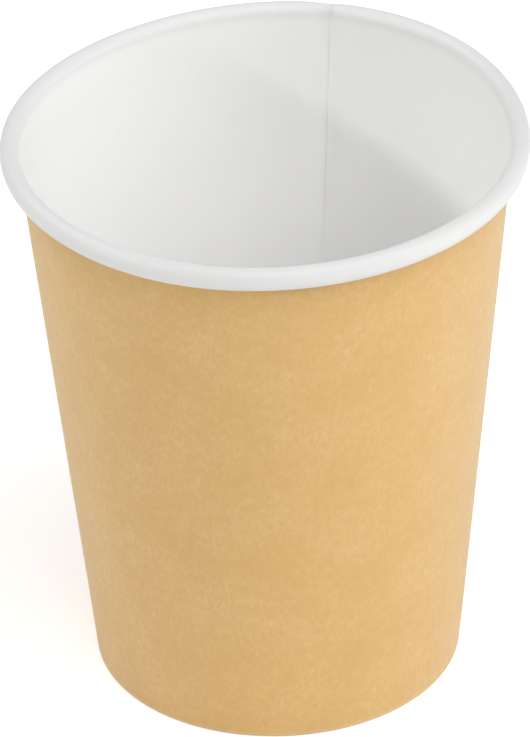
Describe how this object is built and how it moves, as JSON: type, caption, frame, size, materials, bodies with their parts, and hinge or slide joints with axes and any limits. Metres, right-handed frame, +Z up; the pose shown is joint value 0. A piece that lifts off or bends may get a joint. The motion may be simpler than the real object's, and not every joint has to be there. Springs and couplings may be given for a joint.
{
  "type": "paper coffee cup",
  "caption": "Single-wall paper cup for hot drinks: tapered wall with a lapped seam, outward rolled rim, folded foot and a recessed pressed bottom.",
  "frame": {"origin": "centre of the foot, on the table", "axes": "+Z up along the cup's axis; the side seam faces +Y"},
  "size_m": [0.0793, 0.0814, 0.0911],
  "materials": {
    "kraft_board": "matt",
    "white_board": "satin"
  },
  "bodies": {
    "root": {"side_wall": "kraft_board", "bottom_disc": "white_board"}
  },
  "joints": []
}
